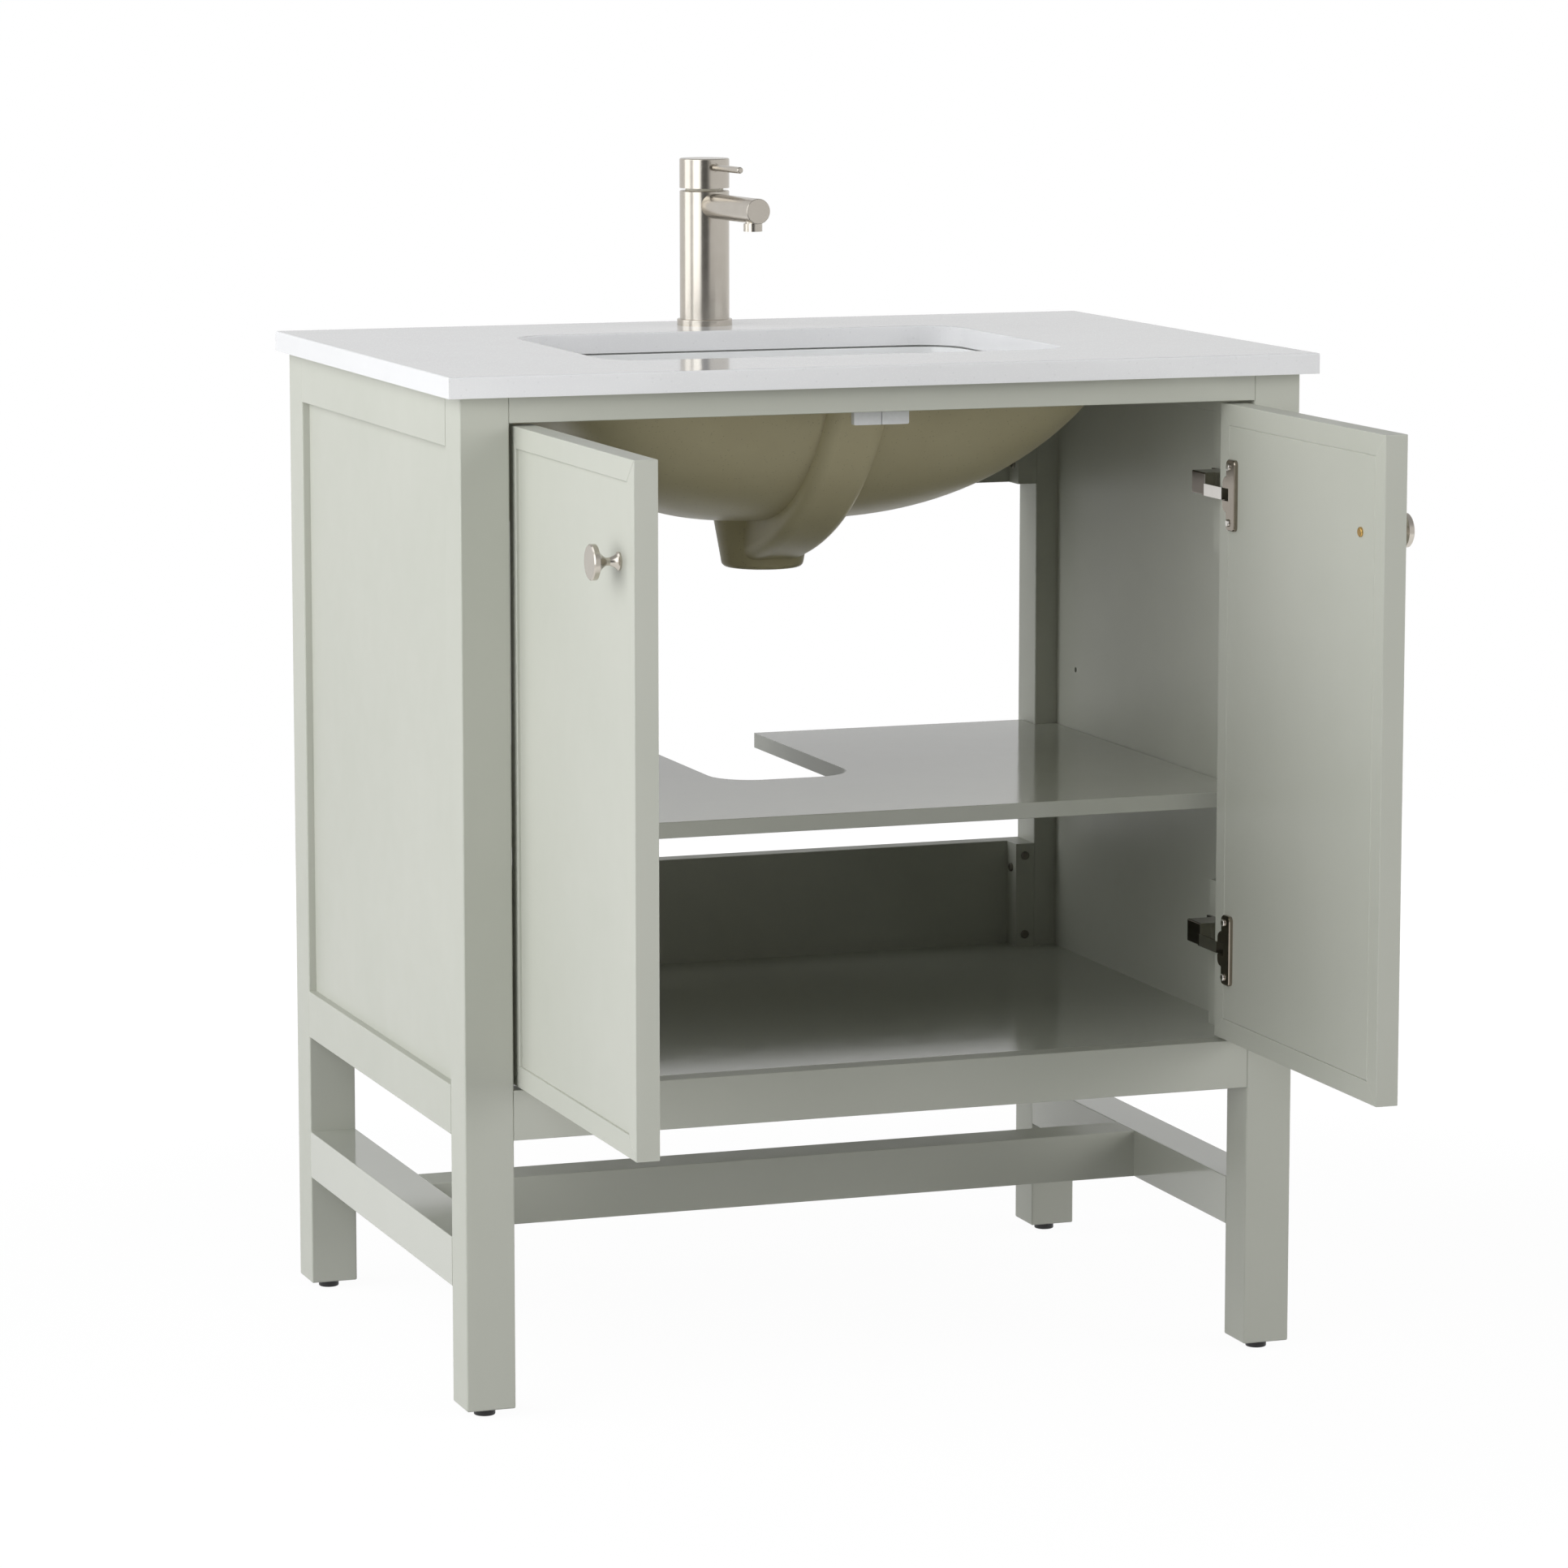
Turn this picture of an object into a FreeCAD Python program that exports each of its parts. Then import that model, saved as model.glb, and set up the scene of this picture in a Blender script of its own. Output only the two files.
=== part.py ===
"""Vanity unit on legs: a two-door cabinet with a shelf, a stone top, an undermount basin and a tap.

Millimetres. The origin is on the ground, at the centre of the four feet. X runs to the right,
Y to the wall and Z up. Both doors are modelled open at a right angle.
"""
import FreeCAD, Part
import math
import os

os.makedirs("parts", exist_ok=True)
Vector = FreeCAD.Vector

# Overall sizes
unit_height = 889.0
top_width = 787.4
top_depth = 558.8
top_thickness = 18.0
top_ease = 1.5
cabinet_width = 762.0
front_overhang = 12.7

# Legs and feet
leg_size = 43.0
leg_ease = 1.5
foot_height = 8.0
foot_diameter = 18.5
foot_ease = 1.0
foot_stem_diameter = 6.0
foot_stem_length = 15.0

# Rails, panels and stretchers of the cabinet
rail_thickness = 20.0
rail_ease = 0.8
front_top_rail_height = 22.5
side_top_rail_height = 44.0
bottom_rail_height = 43.0
floor_level = 283.5
floor_thickness = 15.0
panel_recess = 7.0
panel_thickness = 14.0
stretcher_level = 151.5
stretcher_height = 43.0
centre_stretcher_width = 42.0
back_top_rail_height = 142.0
back_bottom_rail_rise = 99.5

# Corner blocks at the ends of the back rails, and their screws
corner_block_width = 18.5
corner_screw_diameter = 4.0
corner_screw_length = 30.0
corner_screw_head = 8.0
corner_screw_head_height = 2.2
corner_screw_margin = 11.5
corner_side_screw_margin = 24.0
upper_corner_screw_rise = 48.0
upper_side_screw_rise = 18.0

# Shelf and its pins
shelf_level = 498.5
shelf_thickness = 14.0
shelf_ease = 1.0
shelf_clearance = 1.0
shelf_back_setback = 11.0
shelf_notch_width = 130.0
shelf_notch_front = 250.0
shelf_notch_radius = 40.0
shelf_pin_diameter = 5.0
shelf_pin_length = 16.0
shelf_pin_depth = 8.0
shelf_pin_margin = 48.0
shelf_pin_step = 73.5

# Doors
door_gap = 3.0
door_level_gap = 2.5
door_thickness = 20.0
door_frame_width = 18.5
door_panel_recess = 2.5
door_ease = 0.4
door_groove = 0.8
door_open_angle = 90.0

# Knobs and their screws
knob_margin = 45.0
knob_drop = 84.0
knob_length = 25.0
knob_face_diameter = 29.0
knob_face_thickness = 5.0
knob_face_ease = 1.0
knob_neck_diameter = 6.6
knob_base_diameter = 15.0
knob_base_thickness = 1.5
knob_waist_start = 8.5
knob_waist_end = 11.5
knob_flare_fullness = 0.6
knob_screw_diameter = 4.0
knob_screw_bite = 10.0
knob_screw_head = 8.5
knob_screw_head_height = 2.0

# Hinges
hinge_inset = 9.0
hinge_depth = 7.4
hinge_top_margin = 78.5
hinge_bottom_margin = 81.0
hinge_opening = 95.0
hinge_swing_margin = 2.0
hinge_pin_diameter = 2.8
hinge_knuckle_diameter = 5.2
hinge_arm_height = 10.5
hinge_arm_thickness = 2.5
hinge_arm_reach = 14.6
hinge_arm_room = 0.6
hinge_ear_thickness = 1.5
hinge_ear_gap = 0.3
hinge_plate_thickness = 3.5
hinge_plate_height = 62.0
hinge_plate_width = 18.0
hinge_plate_margin = 20.0
hinge_plate_radius = 4.3
hinge_plate_ease = 0.8
hinge_cup_reach = 8.0
hinge_cup_height = 31.7
hinge_cup_radius = 7.0
hinge_screw_spacing = 48.6
hinge_screw_margin = 5.6
hinge_base_height = 20.0
hinge_base_thickness = 3.0
hinge_base_tab = 12.0
hinge_base_setback = 1.0
hinge_base_screw_margin = 5.0
hinge_housing_depth = 27.0
hinge_housing_length = 28.0
hinge_housing_ease = 1.2
hinge_block_depth = 42.0
hinge_block_height = 130.5
hinge_top_block_height = 163.0

# Small screws of the hinges and the door stop
fitting_screw_diameter = 3.5
fitting_screw_length = 15.0
fitting_screw_head = 6.5
fitting_screw_head_height = 1.6

# Share of a screw head's height that is rounded
screw_head_rounding = 0.6

# Door stop behind the front top rail
stop_width = 50.0
stop_depth = 8.0
stop_drop = 12.8
stop_rise = 18.0
stop_ease = 1.5
stop_door_gap = 0.6
stop_split = 1.0
stop_screw_spacing = 30.0

# Basin and its cut-out
cutout_width = 426.0
cutout_depth = 306.0
cutout_radius = 40.0
cutout_setback = 121.0
basin_side_flange = 41.0
basin_end_flange = 37.0
basin_flange_thickness = 12.0
basin_flange_radius = 60.0
basin_flange_lip = 2.0
basin_wall = 11.0
basin_depth = 140.5
basin_floor_fullness = 0.985
basin_levels = (0.0, 0.2, 0.4, 0.6, 0.75, 0.87, 0.95, 1.0)
basin_outline_points = 64
inside_steepness = 3.0
inside_roundness = 0.4
inside_drift = 100.0
inside_squareness = (9.0, 2.6)
outside_steepness = 1.2
outside_roundness = 0.35
outside_drift = 76.0
outside_squareness = (6.0, 2.6)
basin_seal_thickness = 1.5
basin_seal_setback = 5.0
drain_offset = 66.0
drain_bore = 45.0
drain_seat_diameter = 62.0
drain_seat_depth = 3.0
drain_boss_diameter = 73.0
drain_boss_top_diameter = 94.0
drain_boss_drop = 47.0
drain_boss_ease = 5.0
overflow_width = 56.0
overflow_bulge = 12.0
overflow_ease = 12.0
overflow_top_slope = 63.0
overflow_end_slope = 12.0
overflow_foot_rise = 7.0
overflow_foot_setback = 24.0
overflow_hole = 20.0
overflow_hole_depth = 15.0
overflow_drop = 26.0

# Tap
tap_setback = 58.8
tap_turn = 4.0
tap_ring_diameter = 51.0
tap_ring_height = 6.0
tap_ring_ease = 1.0
tap_body_diameter = 45.8
tap_body_height = 118.0
tap_body_ease = 0.8
spout_diameter = 23.0
spout_reach = 126.0
spout_level = 110.5
spout_bore = 14.0
spout_ease = 0.8
aerator_diameter = 17.0
aerator_height = 7.0
aerator_bore = 13.0
aerator_margin = 13.0
aerator_spigot_height = 4.0
cartridge_diameter = 35.8
cartridge_depth = 38.0
cartridge_neck_diameter = 35.0
cartridge_neck_rise = 2.5
stem_diameter = 12.0
stem_depth = 12.5
stem_disc_diameter = 28.0
stem_disc_thickness = 3.0
stem_gap = 0.4
cap_gap = 2.3
cap_diameter = 46.0
cap_height = 27.2
cap_wall = 2.8
cap_roof = 5.0
cap_ease = 1.2
tilt_pin_diameter = 3.0
tilt_pin_offset = 13.0
tilt_eye_diameter = 7.0
tilt_lug_width = 10.0
tilt_ear_width = 3.0
tilt_ear_gap = 0.5
lever_diameter = 6.0
lever_reach = 84.5
lever_level = 19.4
lever_root = 4.0
lever_tip_ease = 1.5
lever_recess_diameter = 8.8
lever_recess_depth = 1.2
shank_diameter = 31.0
shank_bore = 24.0
shank_drop = 33.0
shank_bite = 10.0
tap_hole_diameter = 35.0
tap_washer_diameter = 52.0
tap_washer_thickness = 3.0
tap_nut_width = 45.0
tap_nut_height = 10.0

# Fits
screw_clearance = 0.05
running_clearance = 0.05
pin_clearance = 0.05

# Reach of a cutting shape past the face it opens, and the smallest length that counts
overcut = 1.0
tolerance = 1e-6

# Places worked out from the sizes above
half_width = cabinet_width / 2
cabinet_depth = top_depth - front_overhang
front = -cabinet_depth / 2
back = cabinet_depth / 2
carcass_top = unit_height - top_thickness
leg_inner = half_width - leg_size
panel_outer = half_width - panel_recess
panel_inner = panel_outer - panel_thickness
rail_bottom = carcass_top - front_top_rail_height
floor_underside = floor_level - floor_thickness
bottom_rail_underside = floor_level - bottom_rail_height
back_rail_face = back - rail_thickness
back_leg_face = back - leg_size
shelf_underside = shelf_level - shelf_thickness

door_left = -leg_inner + door_gap
door_width = (2 * leg_inner - 3 * door_gap) / 2
door_bottom = floor_level + door_level_gap
door_top = rail_bottom - door_level_gap
door_back = front + door_thickness
door_face = front + door_panel_recess
pivot_x = door_left + hinge_inset
pivot_y = front + hinge_depth
hinge_levels = (door_bottom + hinge_bottom_margin, door_top - hinge_top_margin)
hinge_plate_left = door_left + hinge_plate_margin
hinge_screw_x = hinge_plate_left + hinge_screw_margin
hinge_base_front = front + leg_size + hinge_base_setback
knob_x = door_left + door_width - knob_margin
knob_z = door_top - knob_drop

cutout_y = front - front_overhang + cutout_setback + cutout_depth / 2
basin_rim = carcass_top - basin_seal_thickness
flange_width = cutout_width + 2 * basin_side_flange
flange_depth = cutout_depth + 2 * basin_end_flange
flange_underside = basin_rim - basin_flange_thickness
bowl_bottom = basin_rim - basin_depth
boss_bottom = bowl_bottom - drain_boss_drop
drain_y = cutout_y + drain_offset
tap_y = back - tap_setback
tap_body_bottom = unit_height + tap_ring_height
tap_body_top = tap_body_bottom + tap_body_height
cap_bottom = tap_body_top + cap_gap
cap_top = cap_bottom + cap_height
stem_disc_bottom = tap_body_top + cartridge_neck_rise + stem_gap
tilt_axis_z = stem_disc_bottom + stem_disc_thickness + tilt_eye_diameter / 2 + stem_gap


# Helpers
def box(x_range, y_range, z_range):
    corner = Vector(x_range[0], y_range[0], z_range[0])
    size = [end - start for start, end in (x_range, y_range, z_range)]
    return Part.makeBox(*size, corner)


def rod(start, direction, diameter, length):
    return Part.makeCylinder(diameter / 2, length, Vector(*start), Vector(*direction))


def prism(points, direction):
    """Solid between a flat outline and the same outline moved along a direction."""
    corners = [Vector(*point) for point in points]
    return Part.Face(Part.makePolygon(corners + corners[:1])).extrude(Vector(*direction))


def edges_along(solid, direction):
    axis = Vector(*direction)
    straight = [edge for edge in solid.Edges if isinstance(edge.Curve, Part.Line)]
    return [edge for edge in straight if abs(edge.tangentAt(edge.FirstParameter).dot(axis)) > 1 - tolerance]


def ring_edges(solid, level):
    """Round edges that lie flat at one height."""
    flat = [edge for edge in solid.Edges if edge.BoundBox.ZLength < tolerance]
    round_ones = [edge for edge in flat if isinstance(edge.Curve, Part.Circle)]
    return [edge for edge in round_ones if abs(edge.BoundBox.ZMin - level) < tolerance]


def mirrored(solid):
    return solid.mirror(Vector(0, 0, 0), Vector(1, 0, 0))


def both_sides(solids):
    return solids + [mirrored(solid) for solid in solids]


def cut_all(solid, tools):
    for tool in tools:
        solid = solid.cut(tool)
    return solid


def save(node, solids):
    shape = solids[0] if len(solids) == 1 else Part.makeCompound(solids)
    shape.exportStep("parts/" + node + ".step")


def save_pair(node, solid):
    """The left piece as modelled, and the right one as its mirror image."""
    save("left_" + node, [solid])
    save("right_" + node, [mirrored(solid)])


def screw(point, direction, diameter, length, head_diameter, head_height):
    """Screw whose head lies on a surface at a point, with its shank along a direction."""
    way = Vector(*direction)
    seat = Vector(*point)
    head = Part.makeCylinder(head_diameter / 2, head_height, seat, -way)
    rim = [edge for edge in head.Edges if isinstance(edge.Curve, Part.Circle)]
    outer = [edge for edge in rim if (edge.Curve.Center - seat).Length > head_height / 2]
    head = head.makeFillet(head_height * screw_head_rounding, outer)
    return head.fuse(Part.makeCylinder(diameter / 2, length, seat, way)).removeSplitter()


def screw_hole(point, direction, diameter, length):
    return rod(point, direction, diameter + 2 * screw_clearance, length)


# Legs and feet
def leg_centre(side, end):
    return side * (half_width - leg_size / 2), end * (cabinet_depth / 2 - leg_size / 2)


def make_leg(side, end):
    x, y = leg_centre(side, end)
    half = leg_size / 2
    leg = box((x - half, x + half), (y - half, y + half), (foot_height, carcass_top))
    lower = [edge for edge in leg.Edges if edge.BoundBox.ZMin < carcass_top - leg_ease]
    leg = leg.makeFillet(leg_ease, lower)
    bore = screw_hole((x, y, foot_height), (0, 0, 1), foot_stem_diameter, foot_stem_length)
    tools = [bore]
    if end > 0:
        tools += [hole for hole in corner_screw_holes() if (hole.BoundBox.Center.x > 0) == (side > 0)]
    return cut_all(leg, tools)


def make_foot(side, end):
    x, y = leg_centre(side, end)
    pad = rod((x, y, 0), (0, 0, 1), foot_diameter, foot_height)
    pad = pad.makeFillet(foot_ease, ring_edges(pad, 0))
    return pad.fuse(rod((x, y, foot_height), (0, 0, 1), foot_stem_diameter, foot_stem_length))


# Rails, panels and stretchers
def eased_bar(x_range, y_range, z_range, direction):
    bar = box(x_range, y_range, z_range)
    return bar.makeFillet(rail_ease, edges_along(bar, direction))


def between_legs_y():
    return front + leg_size, back - leg_size


def between_legs_x():
    return -leg_inner, leg_inner


def make_side_rail(bottom, top):
    return eased_bar((-half_width, -panel_inner), between_legs_y(), (bottom, top), (0, 1, 0))


def make_side_panel():
    levels = (floor_level, carcass_top - side_top_rail_height)
    panel = box((-panel_outer, -panel_inner), between_legs_y(), levels)
    return cut_all(panel, [shelf_pin_hole(y, z) for y in shelf_pin_rows() for z in shelf_pin_levels()])


def make_side_stretcher():
    levels = (stretcher_level - stretcher_height, stretcher_level)
    return eased_bar((-half_width, -leg_inner), between_legs_y(), levels, (0, 1, 0))


def make_centre_stretcher():
    levels = (stretcher_level - stretcher_height, stretcher_level)
    half = centre_stretcher_width / 2
    return eased_bar(between_legs_x(), (-half, half), levels, (1, 0, 0))


def make_front_rail(bottom, top):
    rail = eased_bar(between_legs_x(), (front, front + rail_thickness), (bottom, top), (1, 0, 0))
    return cut_all(rail, stop_screw_holes())


def make_back_rail(bottom, top):
    rail = eased_bar(between_legs_x(), (back_rail_face, back), (bottom, top), (1, 0, 0))
    return cut_all(rail, corner_screw_holes())


def make_floor_panel():
    levels = (floor_underside, floor_level)
    panel = box((-panel_inner, panel_inner), (front + rail_thickness, back_rail_face), levels)
    corners = []
    for side in (-1, 1):
        xs = sorted((side * leg_inner, side * panel_inner))
        corners.append(box(xs, (front, front + leg_size), levels))
        corners.append(box(xs, (back_leg_face, back), levels))
    return cut_all(panel, corners)


# Corner blocks of the back
def corner_block_levels():
    lower = (floor_level, floor_level + back_bottom_rail_rise)
    upper = (carcass_top - back_top_rail_height, carcass_top)
    return lower, upper


def corner_screw_places():
    """Seat and direction of each screw of the right-hand blocks: two into the rail, one into the leg."""
    block_left = leg_inner - corner_block_width
    middle_x = leg_inner - corner_block_width / 2
    middle_y = (back_leg_face + back_rail_face) / 2
    lower, upper = corner_block_levels()
    rail_levels = (lower[0] + corner_screw_margin, lower[1] - corner_screw_margin,
                   upper[0] + upper_corner_screw_rise, upper[1] - corner_screw_margin)
    side_levels = (lower[1] - corner_side_screw_margin, upper[0] + upper_side_screw_rise)
    places = [((middle_x, back_leg_face, z), (0, 1, 0)) for z in rail_levels]
    return places + [((block_left, middle_y, z), (1, 0, 0)) for z in side_levels]


def corner_screw_holes():
    holes = [screw_hole(point, way, corner_screw_diameter, corner_screw_length)
             for point, way in corner_screw_places()]
    return both_sides(holes)


def make_corner_screws():
    screws = [screw(point, way, corner_screw_diameter, corner_screw_length,
                    corner_screw_head, corner_screw_head_height)
              for point, way in corner_screw_places()]
    return both_sides(screws)


def make_corner_blocks():
    blocks = []
    for levels in corner_block_levels():
        block = box((leg_inner - corner_block_width, leg_inner), (back_leg_face, back_rail_face), levels)
        blocks.append(cut_all(block, corner_screw_holes()))
    return both_sides(blocks)


# Shelf
def shelf_pin_rows():
    return front + leg_size + shelf_pin_margin, back_leg_face - shelf_pin_margin


def shelf_pin_levels():
    seat = shelf_underside - shelf_pin_diameter / 2
    return seat, seat + shelf_pin_step


def shelf_pin_hole(y, z):
    return screw_hole((-panel_inner, y, z), (-1, 0, 0), shelf_pin_diameter, shelf_pin_depth)


def make_shelf_pins():
    seat = shelf_pin_levels()[0]
    start = -panel_inner - shelf_pin_depth
    pins = [rod((start, y, seat), (1, 0, 0), shelf_pin_diameter, shelf_pin_length) for y in shelf_pin_rows()]
    return both_sides(pins)


def make_shelf():
    levels = (shelf_underside, shelf_level)
    half = panel_inner - shelf_clearance
    front_edge = front + leg_size + shelf_clearance
    back_edge = back - shelf_back_setback
    shelf = box((-half, half), (front_edge, back_edge), levels)
    notch_half = shelf_notch_width / 2
    notch = box((-notch_half, notch_half), (front + shelf_notch_front, back), levels)
    inner = [edge for edge in edges_along(notch, (0, 0, 1)) if edge.BoundBox.YMax < back - shelf_notch_radius]
    notch = notch.makeFillet(shelf_notch_radius, inner)
    tools = [notch]
    for side in (-1, 1):
        xs = sorted((side * (leg_inner - shelf_clearance), side * panel_inner))
        tools.append(box(xs, (back_leg_face - shelf_clearance, back), levels))
    shelf = cut_all(shelf, tools)
    nose = [edge for edge in edges_along(shelf, (1, 0, 0)) if edge.BoundBox.YMax < front_edge + shelf_ease]
    return shelf.makeFillet(shelf_ease, nose)


# Doors, modelled shut on the left and then swung open
def swung(solid):
    solid = solid.copy()
    solid.rotate(Vector(pivot_x, pivot_y, 0), Vector(0, 0, 1), -door_open_angle)
    return solid


def save_door(node, solids):
    opened = [swung(solid) for solid in solids]
    save("left_" + node, opened)
    save("right_" + node, [mirrored(solid) for solid in opened])


def door_corners(inset):
    left, right = door_left + inset, door_left + door_width - inset
    low, high = door_bottom + inset, door_top - inset
    return (left, front, low), (right, front, low), (right, front, high), (left, front, high)


def make_door_bar(index):
    """One mitred bar of the frame: 0 bottom rail, 1 free stile, 2 top rail, 3 hinge stile."""
    outer = door_corners(0)
    inner = door_corners(door_frame_width)
    after = (index + 1) % 4
    bar = prism([outer[index], outer[after], inner[after], inner[index]], (0, door_thickness, 0))
    faces = [edge for edge in bar.Edges if edge.BoundBox.YLength < tolerance]
    long_ones = [edge for edge in faces if edge.Length > door_frame_width * 2]
    mitres = [edge for edge in faces if edge.Length < door_frame_width * 2]
    front_mitres = [edge for edge in mitres if edge.BoundBox.YMax < front + tolerance]
    bar = bar.makeChamfer(door_ease, long_ones + front_mitres)
    return cut_all(bar, hinge_pockets())


def make_door_panel():
    low = door_corners(door_frame_width)[0]
    high = door_corners(door_frame_width)[2]
    panel = box((low[0], high[0]), (door_face, door_back), (low[2], high[2]))
    rim = [edge for edge in panel.Edges if edge.BoundBox.YMin > door_back - tolerance]
    panel = panel.makeChamfer(door_groove, rim)
    knob_hole = screw_hole((knob_x, front, knob_z), (0, 1, 0), knob_screw_diameter, door_thickness)
    return cut_all(panel, hinge_pockets() + hinge_plate_screw_holes() + [knob_hole])


def flare(start, corner, end):
    """Curve that leaves its start and reaches its end along the two sides of a corner."""
    curve = Part.BezierCurve()
    curve.setPoles([start, corner, end])
    return curve.toShape()


def full_flare(start, corner, end):
    """Flare that stays nearer to the straight line between its ends."""
    middle = (start + end) * 0.5
    return flare(start, corner + (middle - corner) * knob_flare_fullness, end)


def make_knob():
    neck = knob_neck_diameter / 2
    base = knob_base_diameter / 2
    rim = knob_face_diameter / 2
    shoulder = knob_length - knob_face_thickness
    bevel = knob_length - knob_face_ease
    base_top = Vector(base, 0, knob_base_thickness)
    waist_start = Vector(neck, 0, knob_waist_start)
    waist_end = Vector(neck, 0, knob_waist_end)
    rim_start = Vector(rim, 0, shoulder)
    rim_end = Vector(rim, 0, bevel)
    face_edge = Vector(rim - knob_face_ease, 0, knob_length)
    edges = [
        Part.makeLine(Vector(0, 0, 0), Vector(base, 0, 0)),
        Part.makeLine(Vector(base, 0, 0), base_top),
        full_flare(base_top, Vector(neck, 0, knob_base_thickness), waist_start),
        Part.makeLine(waist_start, waist_end),
        full_flare(waist_end, Vector(neck, 0, shoulder), rim_start),
        Part.makeLine(rim_start, rim_end),
        Part.makeLine(rim_end, face_edge),
        Part.makeLine(face_edge, Vector(0, 0, knob_length)),
        Part.makeLine(Vector(0, 0, knob_length), Vector(0, 0, 0)),
    ]
    knob = Part.Face(Part.Wire(edges)).revolve(Vector(0, 0, 0), Vector(0, 0, 1), 360)
    knob.rotate(Vector(0, 0, 0), Vector(1, 0, 0), 90)
    knob.translate(Vector(knob_x, door_face, knob_z))
    return knob.cut(screw_hole((knob_x, door_face, knob_z), (0, -1, 0), knob_screw_diameter, knob_screw_bite))


def make_knob_screw():
    length = door_back - door_face + knob_screw_bite
    return screw((knob_x, door_back, knob_z), (0, -1, 0), knob_screw_diameter, length,
                 knob_screw_head, knob_screw_head_height)


# Hinges
def hinge_pockets():
    """Room in the shut door for the arm as it swings from shut to fully open, one at each hinge."""
    room = hinge_arm_thickness / 2 + hinge_arm_room
    lean = math.radians(max(hinge_opening - 90, 0) + hinge_swing_margin)
    left = pivot_x - room - (door_back - pivot_y) * math.tan(lean)
    right = pivot_x + hinge_arm_reach + room
    half = hinge_arm_height / 2 + hinge_ear_gap + hinge_ear_thickness + hinge_arm_room
    pockets = []
    for level in hinge_levels:
        mortise = box((left, right), (pivot_y - room, door_back), (level - half, level + half))
        eye_diameter = hinge_knuckle_diameter + 2 * hinge_arm_room
        eye = rod((pivot_x, pivot_y, level - half), (0, 0, 1), eye_diameter, 2 * half)
        pockets.append(mortise.fuse(eye))
    return pockets


def hinge_plate_screws():
    """Seat of each screw that holds a hinge plate to the back of the shut door."""
    seat_y = door_back + hinge_plate_thickness
    offsets = (-hinge_screw_spacing / 2, hinge_screw_spacing / 2)
    return [(hinge_screw_x, seat_y, level + offset) for level in hinge_levels for offset in offsets]


def hinge_plate_screw_holes():
    return [screw_hole(point, (0, -1, 0), fitting_screw_diameter, fitting_screw_length)
            for point in hinge_plate_screws()]


def make_hinge_plate_screws():
    return [screw(point, (0, -1, 0), fitting_screw_diameter, fitting_screw_length,
                  fitting_screw_head, fitting_screw_head_height) for point in hinge_plate_screws()]


def make_hinge_plate(level):
    """Plate on the door's back, with a cup in the pocket whose two walls hold the hinge pin."""
    right = hinge_plate_left + hinge_plate_width
    outer_face = door_back + hinge_plate_thickness
    half = hinge_plate_height / 2
    plate = box((hinge_plate_left, right), (door_back, outer_face), (level - half, level + half))
    plate = plate.makeFillet(hinge_plate_radius, edges_along(plate, (0, 1, 0)))
    cup_left = hinge_plate_left - hinge_cup_reach
    cup_half = hinge_cup_height / 2
    cup = box((cup_left, right), (door_back, outer_face), (level - cup_half, level + cup_half))
    outer_corners = [edge for edge in edges_along(cup, (0, 1, 0)) if edge.BoundBox.XMax < hinge_plate_left]
    plate = plate.fuse(cup.makeFillet(hinge_cup_radius, outer_corners)).removeSplitter()
    rim = [edge for edge in plate.Edges if edge.BoundBox.YMin > outer_face - tolerance]
    plate = plate.makeChamfer(hinge_plate_ease, rim)
    slot_half = hinge_arm_height / 2 + hinge_ear_gap
    slot_right = pivot_x + hinge_arm_reach + hinge_arm_thickness / 2 + hinge_arm_room
    slot_levels = (level - slot_half, level + slot_half)
    plate = plate.cut(box((door_left, slot_right), (door_back, outer_face), slot_levels))
    eye = hinge_knuckle_diameter / 2
    for low in (level - slot_half - hinge_ear_thickness, level + slot_half):
        levels = (low, low + hinge_ear_thickness)
        wall = box((pivot_x - eye, slot_right - hinge_arm_room), (pivot_y, door_back), levels)
        root = box((hinge_plate_left, slot_right - hinge_arm_room), (pivot_y, outer_face), levels)
        eye_wall = rod((pivot_x, pivot_y, low), (0, 0, 1), hinge_knuckle_diameter, hinge_ear_thickness)
        plate = plate.fuse([wall, root, eye_wall])
    pin_half = slot_half + hinge_ear_thickness
    pin = rod((pivot_x, pivot_y, level - pin_half), (0, 0, 1), hinge_pin_diameter, 2 * pin_half)
    plate = cut_all(plate.fuse(pin), hinge_plate_screw_holes())
    return plate.removeSplitter()


def hinge_base_screws():
    """Seat of each screw that holds the tab behind a hinge arm's housing to its packing block."""
    seat_x = -leg_inner + hinge_base_thickness
    tab_y = hinge_base_front + hinge_housing_length + hinge_base_tab / 2
    low = -hinge_arm_height / 2
    rises = (low + hinge_base_screw_margin, low + hinge_base_height - hinge_base_screw_margin)
    return [(seat_x, tab_y, level + rise) for level in hinge_levels for rise in rises]


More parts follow.
